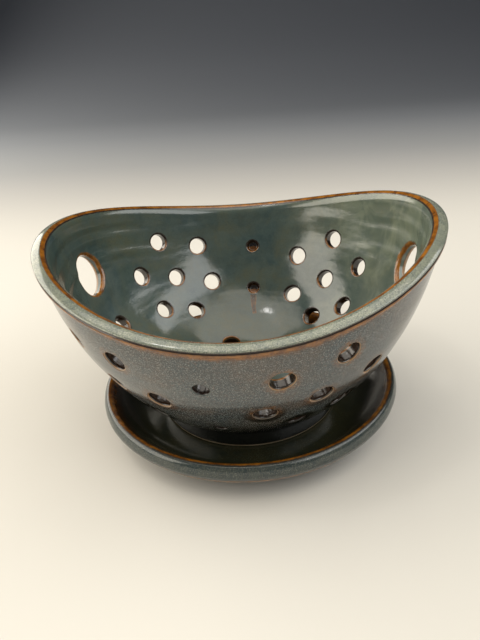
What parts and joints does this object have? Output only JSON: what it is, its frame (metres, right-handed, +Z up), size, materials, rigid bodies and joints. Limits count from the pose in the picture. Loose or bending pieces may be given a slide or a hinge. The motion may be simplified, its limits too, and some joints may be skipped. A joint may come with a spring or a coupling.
{
  "type": "berry colander bowl",
  "caption": "Round glazed stoneware bowl with a waved rim, drain holes in flower groups and finger holes, lifting off a round drip saucer with a rolled rim.",
  "frame": {"origin": "on the table, under the middle of the saucer", "axes": "+Z up, X through the two high ends of the bowl's rim, -Y to the front of the picture"},
  "size_m": [0.1814, 0.1758, 0.1026],
  "materials": {
    "bowl_glaze": "gloss",
    "saucer_glaze": "gloss"
  },
  "bodies": {
    "saucer": {"drip_saucer": "saucer_glaze"},
    "bowl": {"berry_bowl": "bowl_glaze"}
  },
  "joints": [
    {"name": "bowl_lift", "type": "slide", "parent": "saucer", "child": "bowl", "axis": [0, 0, 1], "range_m": [0, 0.12]}
  ]
}
